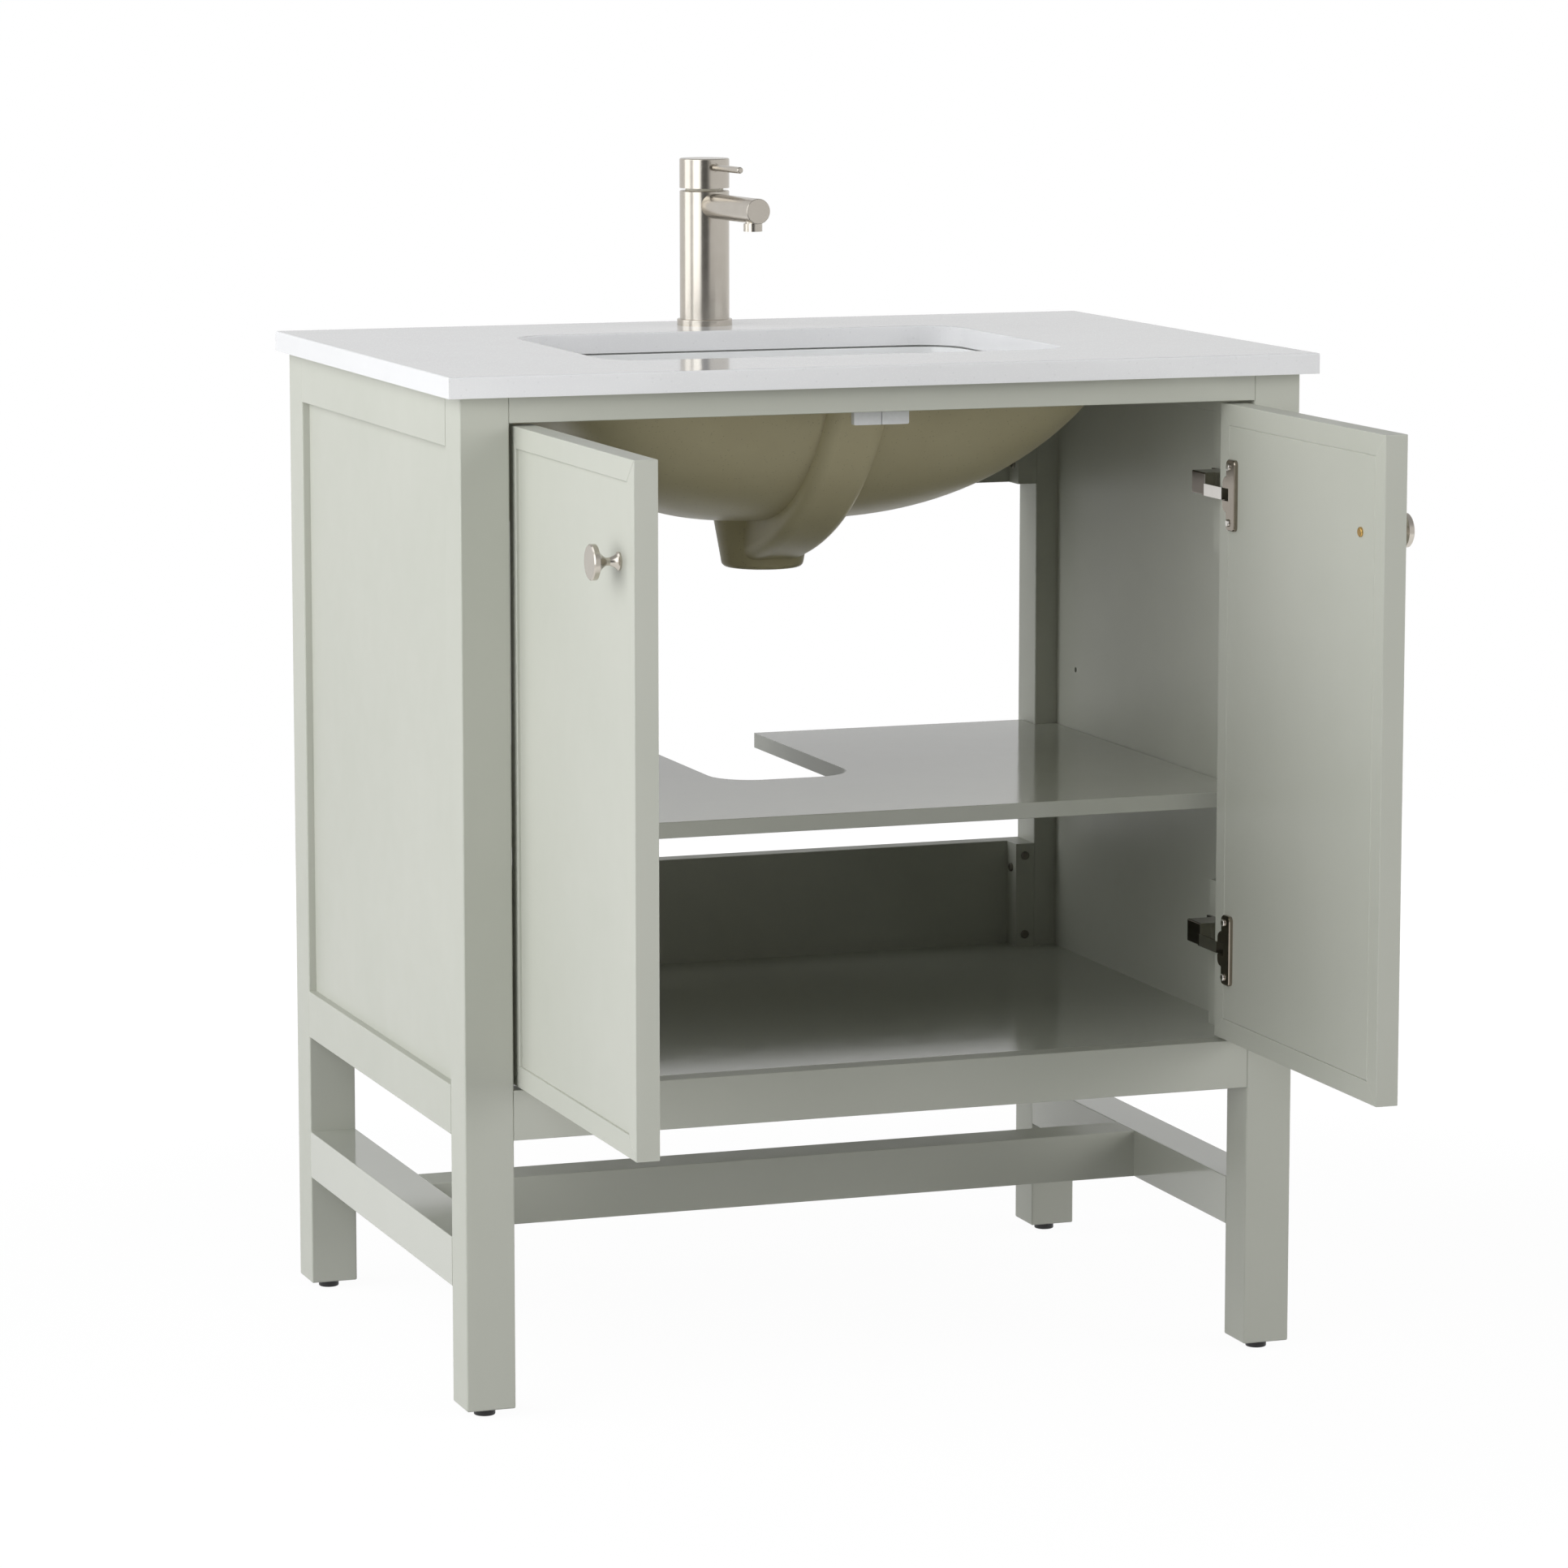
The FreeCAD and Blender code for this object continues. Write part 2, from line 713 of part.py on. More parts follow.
def make_hinge_arm(level):
    """Arm from the pivot, out past the back of the open door and round to a base on the packing block."""
    half = hinge_arm_height / 2
    low = level - half
    wall = hinge_arm_thickness
    turn_x = pivot_x + hinge_arm_reach
    housing_x = -leg_inner + hinge_housing_depth
    levels = (low, level + half)
    link = box((pivot_x, turn_x + wall / 2), (pivot_y - wall / 2, pivot_y + wall / 2), levels)
    run = box((turn_x - wall / 2, turn_x + wall / 2), (pivot_y - wall / 2, hinge_base_front + wall), levels)
    back_run = box((-leg_inner, turn_x + wall / 2), (hinge_base_front, hinge_base_front + wall), levels)
    knuckle = rod((pivot_x, pivot_y, low), (0, 0, 1), hinge_knuckle_diameter, hinge_arm_height)
    housing_end = hinge_base_front + hinge_housing_length
    base_levels = (low, low + hinge_base_height)
    housing = box((-leg_inner, housing_x), (hinge_base_front, housing_end), base_levels)
    rounded = [edge for edge in edges_along(housing, (0, 1, 0)) if edge.BoundBox.XMin > -leg_inner + overcut]
    housing = housing.makeFillet(hinge_housing_ease, rounded)
    base_end = housing_end + hinge_base_tab
    base = box((-leg_inner, -leg_inner + hinge_base_thickness), (hinge_base_front, base_end), base_levels)
    arm = link.fuse([run, back_run, knuckle, housing, base]).removeSplitter()
    bore = rod((pivot_x, pivot_y, low), (0, 0, 1), hinge_pin_diameter + 2 * pin_clearance, hinge_arm_height)
    return cut_all(arm, [bore] + hinge_base_screw_holes())


def hinge_base_screw_holes():
    return [screw_hole(point, (-1, 0, 0), fitting_screw_diameter, fitting_screw_length)
            for point in hinge_base_screws()]


def make_hinge_blocks():
    lower = (floor_level, floor_level + hinge_block_height)
    upper = (carcass_top - hinge_top_block_height, carcass_top)
    first = front + leg_size
    blocks = []
    for levels in (lower, upper):
        block = box((-panel_inner, -leg_inner), (first, first + hinge_block_depth), levels)
        blocks.append(cut_all(block, hinge_base_screw_holes()))
    return both_sides(blocks)


# Door stop
def stop_screws():
    """Seat of each screw that holds the stop to the back of the front top rail."""
    seat_y = front + rail_thickness + stop_depth
    level = rail_bottom + stop_rise / 2
    return [(x, seat_y, level) for x in (-stop_screw_spacing / 2, stop_screw_spacing / 2)]


def stop_screw_holes():
    length = stop_depth + fitting_screw_length
    return [screw_hole(point, (0, -1, 0), fitting_screw_diameter, length) for point in stop_screws()]


def make_stop_screws():
    length = stop_depth + fitting_screw_length
    return [screw(point, (0, -1, 0), fitting_screw_diameter, length, fitting_screw_head,
                  fitting_screw_head_height) for point in stop_screws()]


def make_door_stop():
    half = stop_width / 2
    seat = front + rail_thickness
    rear = seat + stop_depth
    body = box((-half, half), (seat, rear), (rail_bottom - stop_drop, rail_bottom + stop_rise))
    body = body.makeFillet(stop_ease, edges_along(body, (0, 1, 0)))
    nose = box((-half, half), (seat, seat + stop_door_gap), (rail_bottom - stop_drop, rail_bottom))
    split = box((-stop_split / 2, stop_split / 2), (seat, seat + stop_ease + stop_door_gap),
                (rail_bottom - stop_drop, rail_bottom))
    return cut_all(body, [nose, split] + stop_screw_holes())


# Stone top and basin
def rounded_slab(width, depth, radius, bottom, top):
    slab = box((-width / 2, width / 2), (cutout_y - depth / 2, cutout_y + depth / 2), (bottom, top))
    return slab.makeFillet(radius, edges_along(slab, (0, 0, 1)))


def make_countertop():
    half = top_width / 2
    slab = box((-half, half), (front - front_overhang, back), (carcass_top, unit_height))
    cutout = rounded_slab(cutout_width, cutout_depth, cutout_radius, carcass_top, unit_height)
    tap_hole = rod((0, tap_y, carcass_top), (0, 0, 1), tap_hole_diameter, top_thickness)
    slab = cut_all(slab, [cutout, tap_hole])
    upper = [edge for edge in slab.Edges if edge.BoundBox.ZMin > unit_height - tolerance]
    return slab.makeFillet(top_ease, [edge for edge in upper if edge.Length > tap_hole_diameter])


def bowl_outline(half_x, half_y, centre_y, level, squareness):
    """Closed curve between an ellipse (squareness 2) and a rectangle (high squareness)."""
    points = []
    for step in range(basin_outline_points):
        angle = 2 * math.pi * step / basin_outline_points
        cosine, sine = math.cos(angle), math.sin(angle)
        spread = (abs(cosine) ** squareness + abs(sine) ** squareness) ** (-1 / squareness)
        points.append(Vector(half_x * cosine * spread, centre_y + half_y * sine * spread, level))
    curve = Part.BSplineCurve()
    curve.interpolate(Points=points, PeriodicFlag=True)
    return Part.Wire(curve.toShape())


def make_bowl(half_x, half_y, rim, depth, steepness, roundness, drift, squareness):
    """Bowl that rounds in towards its floor and drifts back towards the drain as it does."""
    outlines = []
    for share in basin_levels:
        width = (1 - (basin_floor_fullness * share) ** steepness) ** roundness
        corner = squareness[0] + (squareness[1] - squareness[0]) * share
        centre_y = cutout_y + drift * (1 - width)
        outlines.append(bowl_outline(half_x * width, half_y * width, centre_y, rim - depth * share, corner))
    return Part.makeLoft(outlines, True, False)


def make_bowl_inside():
    return make_bowl(cutout_width / 2, cutout_depth / 2, basin_rim, basin_depth - basin_wall,
                     inside_steepness, inside_roundness, inside_drift, inside_squareness)


def make_bowl_outside():
    half_x = cutout_width / 2 + basin_side_flange - basin_flange_lip
    half_y = cutout_depth / 2 + basin_end_flange - basin_flange_lip
    return make_bowl(half_x, half_y, flange_underside, basin_depth - basin_flange_thickness,
                     outside_steepness, outside_roundness, outside_drift, outside_squareness)


def make_overflow_ridge():
    """Ridge down the front of the bowl that leads from the overflow hole to the drain boss."""
    start_y = cutout_y - cutout_depth / 2 - basin_end_flange + basin_flange_lip - overflow_bulge
    start_z = flange_underside
    end_y = drain_y - overflow_foot_setback
    end_z = boss_bottom + overflow_foot_rise
    fall = math.tan(math.radians(overflow_top_slope))
    run_out = math.tan(math.radians(overflow_end_slope))
    corner_y = (start_z - end_z + fall * start_y - run_out * end_y) / (fall - run_out)
    corner_z = start_z - fall * (corner_y - start_y)
    top_z = basin_rim - overcut
    left = -overflow_width / 2
    start = Vector(left, start_y, start_z)
    corner = Vector(left, corner_y, corner_z)
    end = Vector(left, end_y, end_z)
    top_end = Vector(left, end_y, top_z)
    top_start = Vector(left, start_y, top_z)
    outline = [flare(start, corner, end), Part.makeLine(end, top_end), Part.makeLine(top_end, top_start),
               Part.makeLine(top_start, start)]
    ridge = Part.Face(Part.Wire(outline)).extrude(Vector(overflow_width, 0, 0))
    curved = [edge for edge in ridge.Edges if isinstance(edge.Curve, Part.BezierCurve)]
    return ridge.makeFillet(overflow_ease, curved)


def make_basin():
    flange = rounded_slab(flange_width, flange_depth, basin_flange_radius, flange_underside, basin_rim)
    boss = Part.makeCone(drain_boss_diameter / 2, drain_boss_top_diameter / 2, drain_boss_drop + basin_wall,
                         Vector(0, drain_y, boss_bottom))
    boss = boss.makeFillet(drain_boss_ease, ring_edges(boss, boss_bottom))
    basin = make_bowl_outside().fuse([flange, boss, make_overflow_ridge()])
    inside_floor = bowl_bottom + basin_wall
    seat = rod((0, drain_y, inside_floor - drain_seat_depth), (0, 0, 1), drain_seat_diameter,
               drain_seat_depth + overcut)
    bore = rod((0, drain_y, boss_bottom), (0, 0, 1), drain_bore, basin_depth)
    hole_start = (0, cutout_y - cutout_depth / 2 - overflow_hole_depth, basin_rim - overflow_drop)
    mouth = rod(hole_start, (0, 1, 0), overflow_hole, overflow_hole_depth + basin_wall)
    return cut_all(basin, [make_bowl_inside(), seat, bore, mouth])


def make_basin_seal():
    sheet = rounded_slab(flange_width, flange_depth, basin_flange_radius, basin_rim, carcass_top)
    inner_width = cutout_width + 2 * basin_seal_setback
    inner_depth = cutout_depth + 2 * basin_seal_setback
    inner_radius = cutout_radius + basin_seal_setback
    return sheet.cut(rounded_slab(inner_width, inner_depth, inner_radius, basin_rim, carcass_top))


# Tap, modelled with its spout along -Y and then turned about its own axis
def tap_aimed(solid):
    solid = solid.copy()
    solid.rotate(Vector(0, tap_y, 0), Vector(0, 0, 1), tap_turn)
    return solid


def tap_disc(bottom, top, diameter, bore):
    disc = rod((0, tap_y, bottom), (0, 0, 1), diameter, top - bottom)
    return disc.cut(rod((0, tap_y, bottom), (0, 0, 1), bore, top - bottom))


def make_tap_ring():
    ring = tap_disc(unit_height, tap_body_bottom, tap_ring_diameter, shank_diameter + 2 * screw_clearance)
    bore_radius = shank_diameter / 2 + overcut
    rim = [edge for edge in ring_edges(ring, tap_body_bottom) if edge.Curve.Radius > bore_radius]
    return ring.makeFillet(tap_ring_ease, rim)


def make_tap_body():
    body = rod((0, tap_y, tap_body_bottom), (0, 0, 1), tap_body_diameter, tap_body_height)
    body = body.makeChamfer(tap_body_ease, ring_edges(body, tap_body_top))
    spout_z = unit_height + spout_level
    spout = rod((0, tap_y, spout_z), (0, -1, 0), spout_diameter, spout_reach)
    end = [edge for edge in spout.Edges if edge.BoundBox.YMax < tap_y - spout_reach + tolerance]
    spout = spout.makeFillet(spout_ease, end)
    body = body.fuse(spout)
    aerator_y = tap_y - spout_reach + aerator_margin
    chamber = rod((0, tap_y, tap_body_top - cartridge_depth), (0, 0, 1),
                  cartridge_diameter + 2 * screw_clearance, cartridge_depth)
    waterway = rod((0, tap_y, spout_z), (0, -1, 0), spout_bore, spout_reach - aerator_margin)
    outlet = rod((0, aerator_y, spout_z - spout_diameter / 2), (0, 0, 1), spout_bore, spout_diameter / 2)
    socket = screw_hole((0, tap_y, tap_body_bottom), (0, 0, 1), shank_diameter, shank_bite)
    return cut_all(body, [chamber, waterway, outlet, socket]).removeSplitter()


def make_aerator():
    y = tap_y - spout_reach + aerator_margin
    top = unit_height + spout_level - spout_diameter / 2
    ring = rod((0, y, top - aerator_height), (0, 0, 1), aerator_diameter, aerator_height)
    ring = ring.cut(rod((0, tap_y, unit_height + spout_level), (0, -1, 0), spout_diameter, spout_reach))
    spigot = rod((0, y, top - overcut), (0, 0, 1), spout_bore - 2 * screw_clearance, aerator_spigot_height)
    bore = rod((0, y, top - aerator_height), (0, 0, 1), aerator_bore, aerator_height + aerator_spigot_height)
    return ring.fuse(spigot).cut(bore)


def make_cartridge():
    bottom = tap_body_top - cartridge_depth
    core = rod((0, tap_y, bottom), (0, 0, 1), cartridge_diameter, cartridge_depth)
    neck = rod((0, tap_y, tap_body_top), (0, 0, 1), cartridge_neck_diameter, cartridge_neck_rise)
    bore_bottom = tap_body_top - stem_depth
    bore = rod((0, tap_y, bore_bottom), (0, 0, 1), stem_diameter + 2 * running_clearance,
               stem_depth + cartridge_neck_rise)
    return core.fuse(neck).cut(bore)


def make_stem():
    """Turning stem of the cartridge, with the lug and the cross pin on which the cap tilts."""
    bottom = tap_body_top - stem_depth + stem_gap
    stem = rod((0, tap_y, bottom), (0, 0, 1), stem_diameter, stem_disc_bottom - bottom)
    disc = rod((0, tap_y, stem_disc_bottom), (0, 0, 1), stem_disc_diameter, stem_disc_thickness)
    pin_y = tap_y + tilt_pin_offset
    half = tilt_lug_width / 2
    radius = tilt_eye_diameter / 2 - stem_gap
    lug = box((-half, half), (pin_y - radius, pin_y), (stem_disc_bottom, tilt_axis_z))
    eye = rod((-half, pin_y, tilt_axis_z), (1, 0, 0), 2 * radius, tilt_lug_width)
    pin_length = tilt_lug_width + 2 * (tilt_ear_gap + tilt_ear_width)
    pin = rod((-pin_length / 2, pin_y, tilt_axis_z), (1, 0, 0), tilt_pin_diameter, pin_length)
    return stem.fuse([disc, lug, eye, pin]).removeSplitter()


def make_cap():
    """Hollow cap with two ears that hang from its roof onto the cross pin."""
    shell = rod((0, tap_y, cap_bottom), (0, 0, 1), cap_diameter, cap_height)
    shell = shell.makeFillet(cap_ease, ring_edges(shell, cap_top))
    ceiling = cap_top - cap_roof
    inner_diameter = cap_diameter - 2 * cap_wall
    shell = shell.cut(rod((0, tap_y, cap_bottom), (0, 0, 1), inner_diameter, ceiling - cap_bottom))
    pin_y = tap_y + tilt_pin_offset
    radius = tilt_eye_diameter / 2
    inner = tilt_lug_width / 2 + tilt_ear_gap
    for start in (inner, -inner - tilt_ear_width):
        ear = box((start, start + tilt_ear_width), (pin_y - radius, pin_y + radius), (tilt_axis_z, ceiling))
        ear = ear.fuse(rod((start, pin_y, tilt_axis_z), (1, 0, 0), tilt_eye_diameter, tilt_ear_width))
        shell = shell.fuse(ear)
    pin_bore = rod((-cap_diameter / 2 + cap_wall, pin_y, tilt_axis_z), (1, 0, 0),
                   tilt_pin_diameter + 2 * pin_clearance, inner_diameter)
    outer = tap_y - cap_diameter / 2
    lever_z = cap_bottom + lever_level
    lever_hole = screw_hole((0, outer - overcut, lever_z), (0, 1, 0), lever_diameter, cap_wall + lever_root)
    recess_length = lever_recess_depth + overcut
    recess = rod((0, outer - overcut, lever_z), (0, 1, 0), lever_recess_diameter, recess_length)
    return cut_all(shell, [pin_bore, lever_hole, recess]).removeSplitter()


def make_lever():
    start_y = tap_y - cap_diameter / 2 + cap_wall
    length = lever_reach - cap_diameter / 2 + cap_wall
    lever = rod((0, start_y, cap_bottom + lever_level), (0, -1, 0), lever_diameter, length)
    tip = [edge for edge in lever.Edges if edge.BoundBox.YMax < start_y - length + tolerance]
    return lever.makeFillet(lever_tip_ease, tip)


def make_shank():
    bottom = carcass_top - shank_drop
    return tap_disc(bottom, tap_body_bottom + shank_bite, shank_diameter, shank_bore)


def make_tap_washer():
    return tap_disc(carcass_top - tap_washer_thickness, carcass_top, tap_washer_diameter,
                    shank_diameter + 2 * screw_clearance)


def make_tap_nut():
    top = carcass_top - tap_washer_thickness
    bottom = top - tap_nut_height
    corner = tap_nut_width / math.sqrt(3)
    angles = [math.radians(60 * step) for step in range(6)]
    outline = [(corner * math.cos(a), tap_y + corner * math.sin(a), bottom) for a in angles]
    nut = prism(outline, (0, 0, tap_nut_height))
    return nut.cut(screw_hole((0, tap_y, bottom), (0, 0, 1), shank_diameter, tap_nut_height))


# Cabinet
for side, side_name in ((-1, "left"), (1, "right")):
    for end, end_name in ((-1, "front"), (1, "back")):
        save(end_name + "_" + side_name + "_leg", [make_leg(side, end)])
save("feet", [make_foot(side, end) for side in (-1, 1) for end in (-1, 1)])
save_pair("side_top_rail", make_side_rail(carcass_top - side_top_rail_height, carcass_top))
save_pair("side_bottom_rail", make_side_rail(bottom_rail_underside, floor_level))
save_pair("side_panel", make_side_panel())
save_pair("stretcher", make_side_stretcher())
save("centre_stretcher", [make_centre_stretcher()])
save("front_top_rail", [make_front_rail(rail_bottom, carcass_top)])
save("front_bottom_rail", [make_front_rail(bottom_rail_underside, floor_level)])
save("back_top_rail", [make_back_rail(carcass_top - back_top_rail_height, carcass_top)])
save("back_bottom_rail", [make_back_rail(bottom_rail_underside, floor_level + back_bottom_rail_rise)])
save("corner_blocks", make_corner_blocks())
save("corner_screws", make_corner_screws())
save("floor_panel", [make_floor_panel()])
save("shelf", [make_shelf()])
save("shelf_pins", make_shelf_pins())
save("hinge_blocks", make_hinge_blocks())
save("door_stop", [make_door_stop()])

# Hinges on the cabinet
hinge_arms = [make_hinge_arm(level) for level in hinge_levels]
save("left_hinge_arms", hinge_arms)
save("right_hinge_arms", [mirrored(arm) for arm in hinge_arms])
base_screws = [screw(point, (-1, 0, 0), fitting_screw_diameter, fitting_screw_length,
                     fitting_screw_head, fitting_screw_head_height) for point in hinge_base_screws()]
save("fitting_screws", both_sides(base_screws) + make_stop_screws())

# Doors
save_door("door_bottom_rail", [make_door_bar(0)])
save_door("door_free_stile", [make_door_bar(1)])
save_door("door_top_rail", [make_door_bar(2)])
save_door("door_hinge_stile", [make_door_bar(3)])
save_door("door_panel", [make_door_panel()])
save_door("knob", [make_knob()])
save_door("knob_screw", [make_knob_screw()])
save_door("hinge_plates", [make_hinge_plate(level) for level in hinge_levels])
save_door("hinge_plate_screws", make_hinge_plate_screws())

# Top, basin and tap
save("countertop", [make_countertop()])
save("basin", [make_basin()])
save("basin_seal", [make_basin_seal()])
save("tap_ring", [make_tap_ring()])
save("tap_body", [tap_aimed(make_tap_body())])
save("tap_aerator", [tap_aimed(make_aerator())])
save("tap_cartridge", [make_cartridge()])
save("tap_stem", [tap_aimed(make_stem())])
save("tap_cap", [tap_aimed(make_cap())])
save("tap_lever", [tap_aimed(make_lever())])
save("tap_shank", [make_shank()])
save("tap_washer", [make_tap_washer()])
save("tap_nut", [make_tap_nut()])
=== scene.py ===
"""Looks of the vanity unit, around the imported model.

Sage paint, white stone, a glazed basin and brushed nickel, on a white studio floor.
"""
import math

import bpy
from mathutils import Euler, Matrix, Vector


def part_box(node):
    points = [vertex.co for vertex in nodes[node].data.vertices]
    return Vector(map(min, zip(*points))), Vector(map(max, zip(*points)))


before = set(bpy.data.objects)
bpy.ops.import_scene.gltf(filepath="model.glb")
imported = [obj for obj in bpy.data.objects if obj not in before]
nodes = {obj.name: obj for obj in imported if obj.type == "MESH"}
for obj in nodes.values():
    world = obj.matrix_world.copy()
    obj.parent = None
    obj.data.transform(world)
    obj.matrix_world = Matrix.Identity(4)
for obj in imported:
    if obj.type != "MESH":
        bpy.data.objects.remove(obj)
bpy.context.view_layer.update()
scene = bpy.context.scene
scene.view_settings.view_transform = "Standard"


# ---------------------------------------------------------------- node helpers

def join(tree, value, socket):
    """Links a socket to the input, or sets the input to a plain value."""
    if isinstance(value, bpy.types.NodeSocket):
        tree.links.new(value, socket)
    else:
        socket.default_value = value


def feed(tree, made, name, value):
    """Joins a value to the input of that name that the node's options leave in use."""
    join(tree, value, next(s for s in made.inputs if s.name == name and s.enabled))


def put(tree, kind, settings=None, **inputs):
    """Adds a node. Settings are its own options, inputs are values or sockets by input name."""
    made = tree.nodes.new(kind)
    for name, value in (settings or {}).items():
        setattr(made, name, value)
    for name, value in inputs.items():
        feed(tree, made, name.replace("_", " "), value)
    return made


def out(made, name):
    """The output of that name that the node's options leave in use."""
    return next(s for s in made.outputs if s.name == name and s.enabled)


def reckon(tree, operation, first, second, clamp=False):
    """One sum on two numbers."""
    made = put(tree, "ShaderNodeMath", {"operation": operation, "use_clamp": clamp})
    join(tree, first, made.inputs[0])
    join(tree, second, made.inputs[1])
    return made.outputs[0]


def reckon_vectors(tree, operation, *vectors):
    """One sum on directions or places. Dot products and lengths give a number."""
    made = put(tree, "ShaderNodeVectorMath", {"operation": operation})
    for socket, vector in zip(made.inputs, vectors):
        join(tree, vector, socket)
    return made.outputs["Value" if operation in ("DOT_PRODUCT", "LENGTH") else "Vector"]


def fade(tree, mask, strength):
    """A mask at less than its full strength."""
    return reckon(tree, "MULTIPLY", mask, strength)


def spread(tree, value, low, high):
    """A mask from 0 to 1 turned into a number from low to high."""
    made = put(tree, "ShaderNodeMapRange", Value=value, To_Min=low, To_Max=high)
    return out(made, "Result")


def step(tree, value, start, end):
    """A smooth rise from 0 at start to 1 at end."""
    made = put(tree, "ShaderNodeMapRange", {"interpolation_type": "SMOOTHSTEP"},
               Value=value, From_Min=start, From_Max=end)
    return out(made, "Result")


def blend(tree, mask, first, second):
    """First number where the mask is 0, second where it is 1."""
    made = put(tree, "ShaderNodeMix", Factor=mask)
    # The Mix node keeps a pair of inputs for each kind of value: 2 and 3 are its numbers.
    join(tree, first, made.inputs[2])
    join(tree, second, made.inputs[3])
    return made.outputs[0]


def tint(tree, mask, first, second):
    """First colour where the mask is 0, second where it is 1."""
    made = put(tree, "ShaderNodeMix", {"data_type": "RGBA"}, Factor=mask)
    # Inputs 6 and 7 and output 2 are the Mix node's colours.
    join(tree, first, made.inputs[6])
    join(tree, second, made.inputs[7])
    return made.outputs[2]


def colour(red, green, blue):
    """A colour as it is seen on a screen, 0 to 255, as the linear colour that nodes use."""
    def linear(level):
        level /= 255.0
        return level / 12.92 if level <= 0.04045 else ((level + 0.055) / 1.055) ** 2.4
    return (linear(red), linear(green), linear(blue), 1.0)


def effect(name, inputs, output):
    """An empty node group with float inputs and one output, and its first and last node."""
    group = bpy.data.node_groups.new(name, "ShaderNodeTree")
    for label, value in inputs.items():
        socket = group.interface.new_socket(label, in_out="INPUT", socket_type="NodeSocketFloat")
        socket.default_value = value
    group.interface.new_socket(output, in_out="OUTPUT", socket_type="NodeSocketFloat")
    start = group.nodes.new("NodeGroupInput")
    end = group.nodes.new("NodeGroupOutput")
    return group, start, end


def place(tree, group, **values):
    """Puts an effect in a material with its own values and gives its output."""
    made = tree.nodes.new("ShaderNodeGroup")
    made.node_tree = group
    for name, value in values.items():
        made.inputs[name.replace("_", " ")].default_value = value
    return made.outputs[0]


# ---------------------------------------------------------------- shared effects

def make_mottle():
    """Cloudy unevenness, 0 to 1, on the object's own coordinates."""
    middle = 0.5
    group, start, end = effect("mottle", {"Scale": 10.0, "Detail": 2.0, "Contrast": 1.0}, "Value")
    spot = put(group, "ShaderNodeTexCoord")
    noise = put(group, "ShaderNodeTexNoise", Vector=spot.outputs["Object"],
                Scale=start.outputs["Scale"], Detail=start.outputs["Detail"], Roughness=0.55)
    centred = reckon(group, "SUBTRACT", out(noise, "Fac"), middle)
    wide = reckon(group, "MULTIPLY", centred, start.outputs["Contrast"])
    group.links.new(reckon(group, "ADD", wide, middle, clamp=True), end.inputs["Value"])
    return group


def make_painted_edge_highlight():
    """Painted edge highlight: 1 along convex and concave edges, falling to 0 within the radius,
    broken up by noise.
    """
    group, start, end = effect("painted_edge_highlight", {"Radius": 0.0015, "Break Scale": 60.0}, "Mask")
    soft = put(group, "ShaderNodeBevel", {"samples": 4}, Radius=start.outputs["Radius"])
    sharp = put(group, "ShaderNodeNewGeometry")
    turn = reckon_vectors(group, "DOT_PRODUCT", soft.outputs["Normal"], sharp.outputs["Normal"])
    bend = step(group, turn, start=0.995, end=0.86)
    spot = put(group, "ShaderNodeTexCoord")
    noise = put(group, "ShaderNodeTexNoise", Vector=spot.outputs["Object"],
                Scale=start.outputs["Break Scale"], Detail=3.0)
    broken = step(group, out(noise, "Fac"), start=0.3, end=0.6)
    group.links.new(reckon(group, "MULTIPLY", bend, broken), end.inputs["Mask"])
    return group


def make_brushing():
    """Fine scratches drawn out along one axis.

    The inputs are how often they change along X, Y and Z.
    """
    group, start, end = effect(
        "brushing", {"Along X": 2000.0, "Along Y": 2000.0, "Along Z": 20.0}, "Value")
    spot = put(group, "ShaderNodeTexCoord")
    scales = put(group, "ShaderNodeCombineXYZ", X=start.outputs["Along X"],
                 Y=start.outputs["Along Y"], Z=start.outputs["Along Z"])
    drawn = reckon_vectors(group, "MULTIPLY", spot.outputs["Object"], scales.outputs["Vector"])
    noise = put(group, "ShaderNodeTexNoise", Vector=drawn, Scale=1.0, Detail=2.0)
    group.links.new(out(noise, "Fac"), end.inputs["Value"])
    return group


def make_flecks():
    """Separate small grains, 1 inside a grain. The share is how many of the cells hold one."""
    group, start, end = effect("flecks", {"Scale": 600.0, "Share": 0.3}, "Mask")
    spot = put(group, "ShaderNodeTexCoord")
    grain = put(group, "ShaderNodeTexVoronoi", Vector=spot.outputs["Object"],
                Scale=start.outputs["Scale"])
    chosen = put(group, "ShaderNodeSeparateColor", Color=grain.outputs["Color"])
    kept = reckon(group, "LESS_THAN", chosen.outputs["Red"], start.outputs["Share"])
    core = step(group, grain.outputs["Distance"], start=0.6, end=0.2)
    group.links.new(reckon(group, "MULTIPLY", kept, core), end.inputs["Mask"])
    return group


mottle = make_mottle()
painted_edge_highlight = make_painted_edge_highlight()
brushing = make_brushing()
flecks = make_flecks()


# ---------------------------------------------------------------- finishes

def finish_of(name, **settings):
    """A new material, its nodes and its Principled shader, set to plain values."""
    made = bpy.data.materials.new(name)
    made.use_nodes = True
    tree = made.node_tree
    shader = tree.nodes["Principled BSDF"]
    for label, value in settings.items():
        shader.inputs[label.replace("_", " ")].default_value = value
    return made, tree, shader


def set_look(tree, shader, base, roughness):
    """Joins the base colour and the roughness to the shader."""
    tree.links.new(base, shader.inputs["Base Color"])
    tree.links.new(roughness, shader.inputs["Roughness"])


def roughen(tree, shader, height, strength, distance):
    """A bump on the shader's normal."""
    made = put(tree, "ShaderNodeBump", Strength=strength, Distance=distance, Height=height)
    tree.links.new(made.outputs["Normal"], shader.inputs["Normal"])


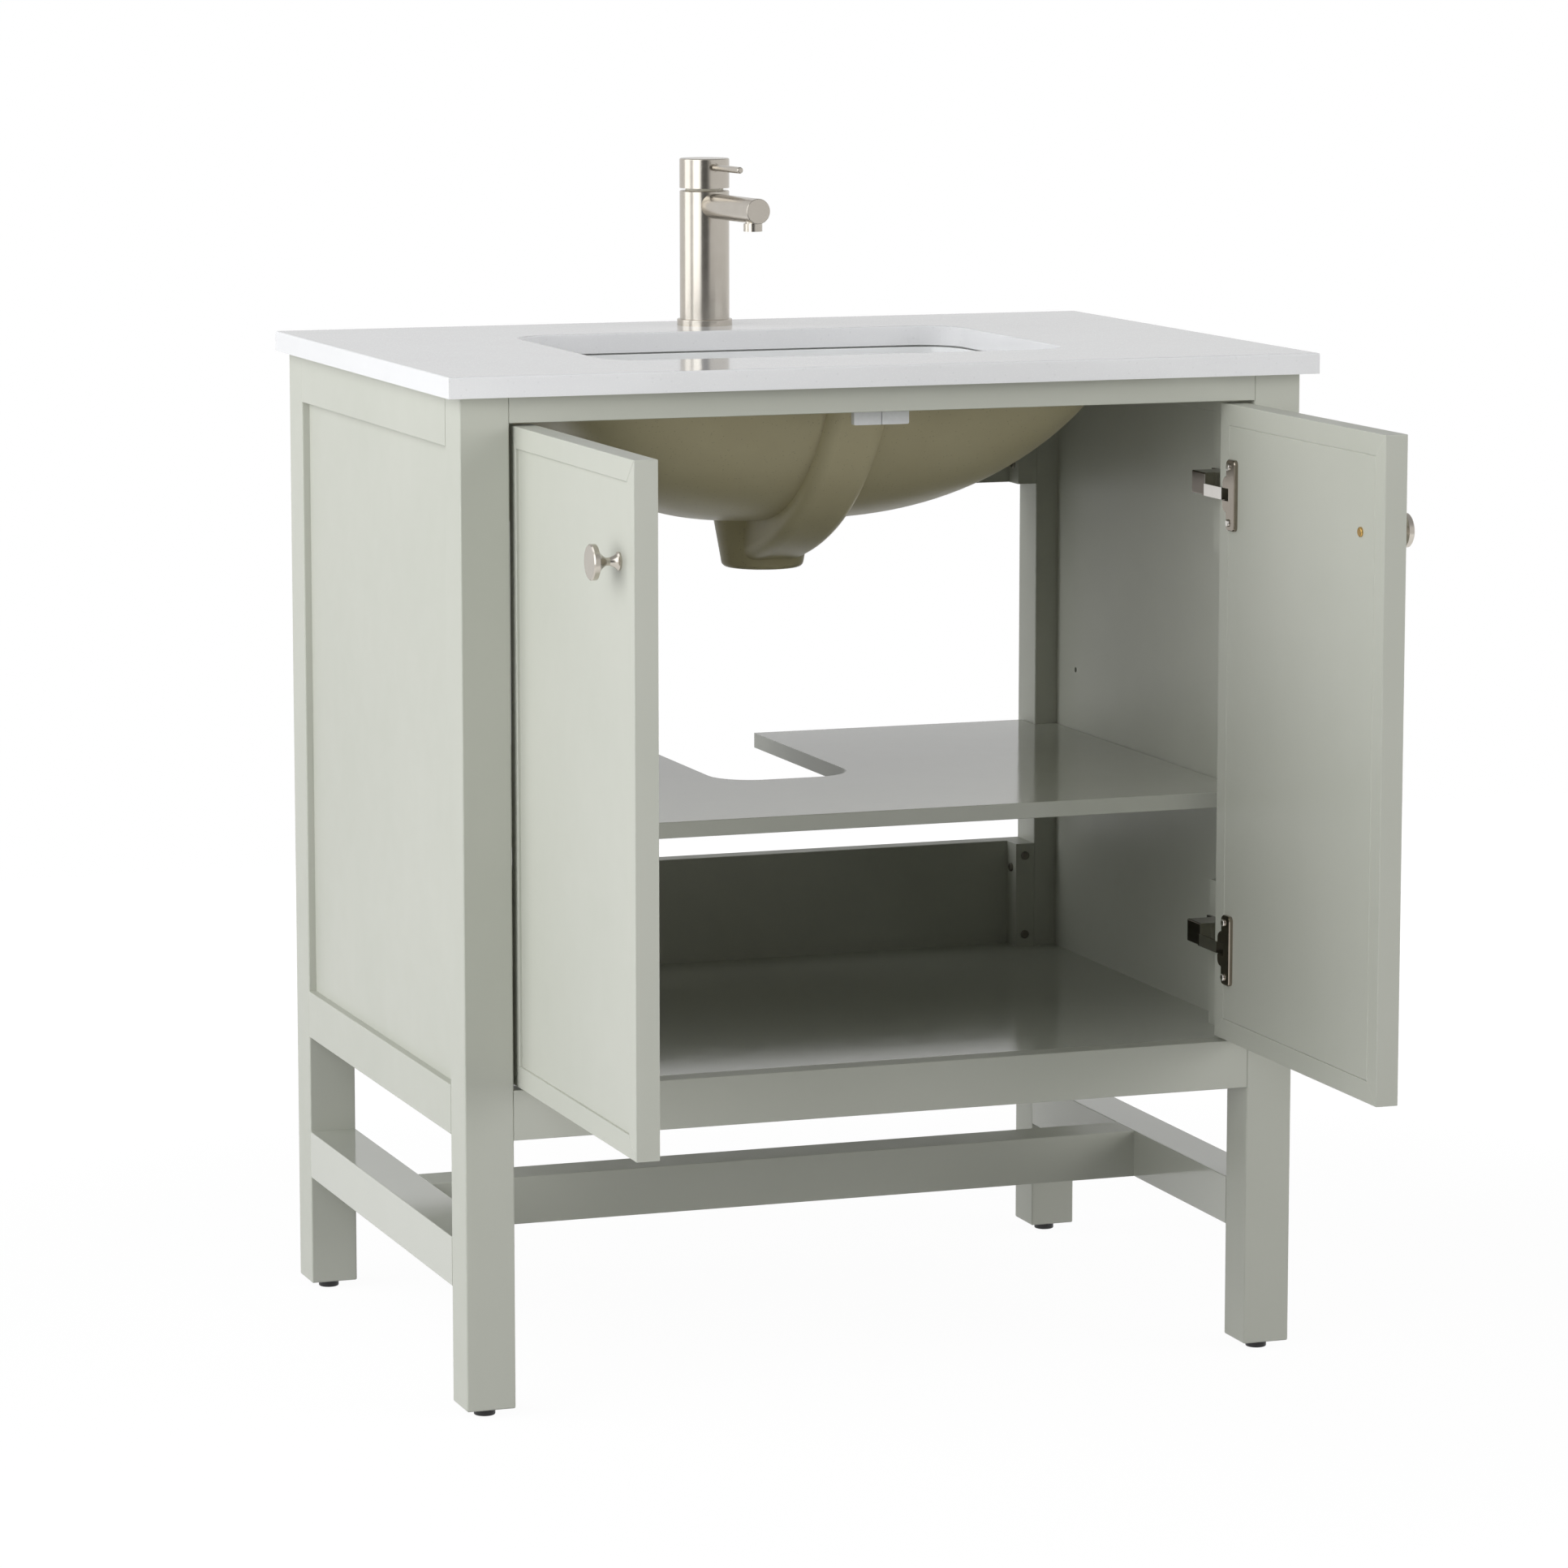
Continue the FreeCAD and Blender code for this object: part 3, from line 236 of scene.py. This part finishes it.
def make_sage_paint(name, shine, roughness):
    """Sprayed sage-grey paint with a faint orange peel, and a painted highlight that lightens its
    edges.
    """
    made, tree, shader = finish_of(name, Specular_IOR_Level=shine)
    cloud = place(tree, mottle, Scale=6.0, Detail=3.0, Contrast=1.4)
    edge = place(tree, painted_edge_highlight, Radius=0.0016, Break_Scale=45.0)
    sheen = place(tree, mottle, Scale=35.0, Detail=4.0, Contrast=1.5)
    peel = place(tree, mottle, Scale=420.0, Detail=2.0, Contrast=1.0)
    body = tint(tree, cloud, colour(190, 192, 181), colour(196, 197, 187))
    # Painted highlight: the edges are lightened towards a paler sage, in place of light caught on
    # rounded edges.
    highlighted = tint(tree, fade(tree, edge, 0.35), body, colour(210, 212, 203))
    set_look(tree, shader, highlighted, spread(tree, sheen, *roughness))
    roughen(tree, shader, peel, strength=0.06, distance=0.0006)
    return made


def make_quartz():
    """White polished stone: fine pale grains and a few faint grey ones."""
    made, tree, shader = finish_of("white_quartz", Specular_IOR_Level=0.35)
    cloud = place(tree, mottle, Scale=14.0, Detail=5.0, Contrast=1.6)
    grains = place(tree, flecks, Scale=900.0, Share=0.35)
    grey = place(tree, flecks, Scale=420.0, Share=0.04)
    ripple = place(tree, mottle, Scale=30.0, Detail=2.0, Contrast=1.0)
    ground = tint(tree, cloud, colour(231, 231, 232), colour(236, 236, 237))
    pale = tint(tree, fade(tree, grains, 0.5), ground, colour(240, 240, 240))
    specked = tint(tree, fade(tree, grey, 0.2), pale, colour(204, 205, 205))
    set_look(tree, shader, specked, spread(tree, grains, 0.10, 0.16))
    roughen(tree, shader, ripple, strength=0.02, distance=0.0006)
    return made


def make_china():
    """Basin: white glaze inside, bare olive-beige body outside and in the drain.

    A face is inside where it looks towards a point a little above the middle of the rim.
    """
    rise = 0.03
    turn_over = 0.002
    drain_seat, glaze_foot = 0.727, 0.730
    bare_shine, glaze_shine = 0.1, 0.5
    made, tree, shader = finish_of("glazed_china")
    lowest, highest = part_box("basin")
    centre = (0.0, (lowest.y + highest.y) / 2, highest.z + rise)
    spot = put(tree, "ShaderNodeTexCoord")
    inward = reckon_vectors(tree, "SUBTRACT", centre, spot.outputs["Object"])
    lean = reckon_vectors(tree, "DOT_PRODUCT", spot.outputs["Normal"], inward)
    inside = step(tree, lean, -turn_over, turn_over)
    level = put(tree, "ShaderNodeSeparateXYZ", Vector=spot.outputs["Object"])
    above = step(tree, level.outputs["Z"], drain_seat, glaze_foot)
    glazed = reckon(tree, "MULTIPLY", inside, above)
    cloud = place(tree, mottle, Scale=18.0, Detail=4.0, Contrast=1.6)
    pits = place(tree, flecks, Scale=700.0, Share=0.04)
    waves = place(tree, mottle, Scale=40.0, Detail=3.0, Contrast=1.0)
    body = tint(tree, cloud, colour(200, 190, 156), colour(208, 199, 166))
    bare = tint(tree, fade(tree, pits, 0.35), body, colour(132, 122, 96))
    white = tint(tree, cloud, colour(240, 241, 241), colour(244, 245, 245))
    bare_roughness = spread(tree, cloud, 0.30, 0.42)
    glaze_roughness = spread(tree, cloud, 0.06, 0.10)
    set_look(tree, shader, tint(tree, glazed, bare, white),
             blend(tree, glazed, bare_roughness, glaze_roughness))
    shine = spread(tree, glazed, bare_shine, glaze_shine)
    tree.links.new(shine, shader.inputs["Specular IOR Level"])
    roughen(tree, shader, waves, strength=0.08, distance=0.001)
    return made


def make_metal(name, dark, light, roughness, lines, depth, housing_front=None):
    """Metal with drawn scratches and a cloudy change of gloss.

    Lines are how often the scratches change along X, Y and Z, depth is how strong they are. A hinge
    arm is painted darker behind the front of its housing, as painted shade.
    """
    housing_edge = 0.001
    made, tree, shader = finish_of(name, Metallic=1.0)
    scratches = place(tree, brushing, Along_X=lines[0], Along_Y=lines[1], Along_Z=lines[2])
    cloud = place(tree, mottle, Scale=55.0, Detail=3.0, Contrast=1.4)
    plating = tint(tree, cloud, dark, light)
    if housing_front is not None:
        spot = put(tree, "ShaderNodeTexCoord")
        depths = put(tree, "ShaderNodeSeparateXYZ", Vector=spot.outputs["Object"])
        behind = step(tree, depths.outputs["Y"], housing_front, housing_front + housing_edge)
        # Painted shade: behind the housing's front the arm is painted a dark brown-grey, in place
        # of the shadow there.
        plating = tint(tree, behind, plating, colour(92, 84, 74))
    both = reckon(tree, "ADD", fade(tree, scratches, 0.7), fade(tree, cloud, 0.3))
    set_look(tree, shader, plating, spread(tree, both, *roughness))
    roughen(tree, shader, scratches, strength=depth, distance=0.0002)
    return made


def make_moulding(name, dark, light, roughness, grain):
    """Moulded plastic, rubber or sealant with a fine grained skin, and a painted highlight that
    lightens its edges.
    """
    clouds_per_grain = 1.0 / 8.0
    made, tree, shader = finish_of(name)
    cloud = place(tree, mottle, Scale=grain * clouds_per_grain, Detail=3.0, Contrast=1.5)
    skin = place(tree, mottle, Scale=grain, Detail=2.0, Contrast=1.3)
    edge = place(tree, painted_edge_highlight, Radius=0.0008, Break_Scale=120.0)
    body = tint(tree, cloud, dark, light)
    # Painted highlight: the edges are lightened towards the light colour, in place of light caught
    # on rounded edges.
    set_look(tree, shader, tint(tree, fade(tree, edge, 0.3), body, light),
             spread(tree, cloud, *roughness))
    roughen(tree, shader, skin, strength=0.12, distance=0.0003)
    return made


sage_paint = make_sage_paint("sage_paint", shine=0.25, roughness=(0.34, 0.44))
sage_lacquer = make_sage_paint("sage_lacquer", shine=0.5, roughness=(0.06, 0.12))
white_quartz = make_quartz()
glazed_china = make_china()

nickel_colours = {"dark": colour(214, 210, 204), "light": colour(224, 221, 216)}
stamped = {"lines": (300.0, 300.0, 4000.0), "depth": 0.04}
brushed_nickel = make_metal(
    "brushed_nickel", colour(197, 190, 179), colour(205, 199, 189),
    roughness=(0.16, 0.26), lines=(60.0, 60.0, 6000.0), depth=0.07)
bright_nickel = make_metal("bright_nickel", **nickel_colours, roughness=(0.07, 0.15), **stamped)
plate_nickel = make_metal(
    "plate_nickel", colour(146, 137, 125), colour(162, 153, 141),
    roughness=(0.06, 0.13), **stamped)
arm_nickel = make_metal(
    "arm_nickel", **nickel_colours, roughness=(0.07, 0.15), **stamped, housing_front=-0.2292)
dark_zinc = make_metal(
    "dark_zinc", colour(122, 118, 108), colour(142, 138, 128),
    roughness=(0.45, 0.60), lines=(900.0, 900.0, 900.0), depth=0.10)
turned_brass = make_metal(
    "turned_brass", colour(196, 158, 92), colour(214, 178, 112),
    roughness=(0.18, 0.30), lines=(3000.0, 200.0, 200.0), depth=0.08)

black_plastic = make_moulding(
    "black_plastic", colour(22, 22, 22), colour(38, 38, 38), (0.40, 0.55), grain=2400.0)
white_plastic = make_moulding(
    "white_plastic", colour(232, 233, 234), colour(240, 241, 242), (0.30, 0.42), grain=2000.0)
ivory_plastic = make_moulding(
    "ivory_plastic", colour(214, 208, 190), colour(224, 219, 204), (0.35, 0.48), grain=2000.0)
black_rubber = make_moulding(
    "black_rubber", colour(28, 28, 28), colour(44, 43, 42), (0.60, 0.78), grain=1500.0)
clear_sealant = make_moulding(
    "clear_sealant", colour(196, 197, 194), colour(208, 209, 206), (0.28, 0.40), grain=1200.0)

# Every other piece is in the sage paint.
finish_by_node = {
    "countertop": white_quartz,
    "basin": glazed_china,
    "basin_seal": clear_sealant,
    "feet": black_plastic,
    "door_stop": white_plastic,
    "shelf": sage_lacquer,
    "floor_panel": sage_lacquer,
    "corner_screws": dark_zinc,
    "fitting_screws": bright_nickel,
    "shelf_pins": bright_nickel,
    "tap_cartridge": ivory_plastic,
    "tap_washer": black_rubber,
}
for side in ("left", "right"):
    finish_by_node[side + "_stretcher"] = sage_lacquer
    finish_by_node[side + "_knob"] = brushed_nickel
    finish_by_node[side + "_knob_screw"] = turned_brass
    finish_by_node[side + "_hinge_plates"] = plate_nickel
    finish_by_node[side + "_hinge_plate_screws"] = bright_nickel
    finish_by_node[side + "_hinge_arms"] = arm_nickel
for piece in ("ring", "body", "aerator", "stem", "cap", "lever", "shank", "nut"):
    finish_by_node["tap_" + piece] = brushed_nickel

for name, solid in nodes.items():
    finish = finish_by_node.get(name, sage_paint)
    for slot in solid.material_slots:
        slot.material = finish


# ---------------------------------------------------------------- floor, light and camera

WHITE = (1.0, 1.0, 1.0, 1.0)
MID_GREY = (0.5, 0.5, 0.5, 1.0)


def make_floor():
    """A wide floor that looks white to the camera and still takes the unit's shadow.

    A share of what is seen is a plain white glow. The share grows away from the unit, until
    nothing of the floor's edge shows against the white behind it.
    """
    reach = 2.6
    shadow_end, white_from = 0.7, 2.2
    near_share, far_share = 0.89, 1.0
    glow_strength = 1.08
    mesh = bpy.data.meshes.new("studio_floor")
    corners = [(-reach, -reach, 0.0), (reach, -reach, 0.0),
               (reach, reach, 0.0), (-reach, reach, 0.0)]
    mesh.from_pydata(corners, [], [(0, 1, 2, 3)])
    floor = bpy.data.objects.new("studio_floor", mesh)
    scene.collection.objects.link(floor)
    made = bpy.data.materials.new("studio_white")
    made.use_nodes = True
    tree = made.node_tree
    tree.nodes.clear()
    path = put(tree, "ShaderNodeLightPath")
    seen = reckon(tree, "MAXIMUM", path.outputs["Is Camera Ray"], path.outputs["Is Glossy Ray"])
    seen = reckon(tree, "MAXIMUM", seen, path.outputs["Is Transmission Ray"])
    spot = put(tree, "ShaderNodeTexCoord")
    away = reckon_vectors(tree, "LENGTH", spot.outputs["Object"])
    share = spread(tree, step(tree, away, shadow_end, white_from), near_share, far_share)
    matt = put(tree, "ShaderNodeBsdfDiffuse", Color=MID_GREY)
    glow = put(tree, "ShaderNodeEmission", Color=WHITE, Strength=glow_strength)
    mixed = put(tree, "ShaderNodeMixShader")
    tree.links.new(reckon(tree, "MULTIPLY", seen, share), mixed.inputs[0])
    tree.links.new(matt.outputs[0], mixed.inputs[1])
    tree.links.new(glow.outputs[0], mixed.inputs[2])
    end = put(tree, "ShaderNodeOutputMaterial")
    tree.links.new(mixed.outputs[0], end.inputs["Surface"])
    mesh.materials.append(made)


def make_surroundings():
    """A studio around the unit: white to the camera, with one room mirrored and another for light.

    Both rooms have a dark gap in front. The room that polished faces mirror is pale behind the
    unit. The room that lights it is dim behind and overhead, with a wider gap and a bright patch to
    the right and to the left.
    """
    wall_side, wall_behind = -0.2, 0.7
    ceiling_from, ceiling_full = 0.25, 0.7
    world = bpy.data.worlds.new("studio")
    scene.world = world
    world.use_nodes = True
    tree = world.node_tree
    tree.nodes.clear()
    path = put(tree, "ShaderNodeLightPath")
    spot = put(tree, "ShaderNodeTexCoord")
    way = put(tree, "ShaderNodeSeparateXYZ", Vector=spot.outputs["Generated"])

    def patch(direction, edge, core, around, within):
        """A round patch: one level around it, another within it. Edge and core are cosines."""
        toward = reckon_vectors(tree, "DOT_PRODUCT", spot.outputs["Generated"], direction)
        return spread(tree, step(tree, toward, edge, core), around, within)

    def room(side, behind, overhead, gap):
        """Levels of the walls, less overhead by a share, and less in the gap."""
        wall = spread(tree, step(tree, way.outputs["Y"], wall_side, wall_behind), side, behind)
        rise = step(tree, way.outputs["Z"], ceiling_from, ceiling_full)
        ceiling = spread(tree, rise, 1.0, overhead)
        return reckon(tree, "MULTIPLY", reckon(tree, "MULTIPLY", wall, ceiling), gap)

    mirrored_gap = patch((-0.31, -0.95, 0.0), edge=0.88, core=0.98, around=1.0, within=0.13)
    mirrored = room(side=0.74, behind=0.81, overhead=0.55, gap=mirrored_gap)
    dim_gap = patch((-0.1, -0.995, 0.0), edge=0.8, core=0.94, around=1.0, within=0.05)
    dim = room(side=0.8, behind=0.12, overhead=0.35, gap=dim_gap)
    right_fill = patch((0.84, -0.52, 0.14), edge=0.8, core=0.95, around=0.0, within=2.05)
    left_fill = patch((-0.99, -0.1, 0.1), edge=0.65, core=0.92, around=0.0, within=1.1)
    lit = reckon(tree, "ADD", dim, reckon(tree, "ADD", right_fill, left_fill))
    reflected = reckon(tree, "MAXIMUM", path.outputs["Is Glossy Ray"],
                       path.outputs["Is Transmission Ray"])
    unseen = blend(tree, reflected, lit, mirrored)
    total = blend(tree, path.outputs["Is Camera Ray"], unseen, 1.0)
    sky = put(tree, "ShaderNodeBackground", Color=WHITE, Strength=total)
    end = put(tree, "ShaderNodeOutputWorld")
    tree.links.new(sky.outputs[0], end.inputs["Surface"])


def make_softbox(name, bearing, width, power):
    """A tall soft lamp aimed at the middle of the unit, a little cool.

    The bearing is in degrees from straight in front towards the left.
    """
    distance, level, height = 3.4, 1.9, 3.5
    middle_of_unit = Vector((0.0, 0.0, 0.55))
    lamp = bpy.data.lights.new(name, "AREA")
    lamp.shape = "RECTANGLE"
    lamp.size = width
    lamp.size_y = height
    lamp.energy = power
    lamp.color = (0.95, 0.975, 1.0)
    holder = bpy.data.objects.new(name, lamp)
    turn = math.radians(bearing)
    holder.location = (-distance * math.sin(turn), -distance * math.cos(turn), level)
    aim = middle_of_unit - holder.location
    holder.rotation_euler = aim.to_track_quat("-Z", "Y").to_euler()
    scene.collection.objects.link(holder)


def make_camera():
    """Long lens in front, to the left and a little above the top."""
    pitch_down, turn_right = 8.557, 19.615
    lens = bpy.data.cameras.new("camera")
    lens.sensor_width = 36.0
    lens.sensor_fit = "HORIZONTAL"
    lens.lens = 136.35
    lens.clip_end = 300.0
    holder = bpy.data.objects.new("camera", lens)
    holder.location = (-1.7751, -4.9852, 1.2862)
    holder.rotation_euler = Euler(
        (math.radians(90.0 - pitch_down), 0.0, math.radians(-turn_right)))
    scene.collection.objects.link(holder)
    scene.camera = holder


make_floor()
make_surroundings()
make_softbox("front_softbox", bearing=57.0, width=2.6, power=46.0)
make_softbox("side_softbox", bearing=107.0, width=2.2, power=30.0)
make_camera()
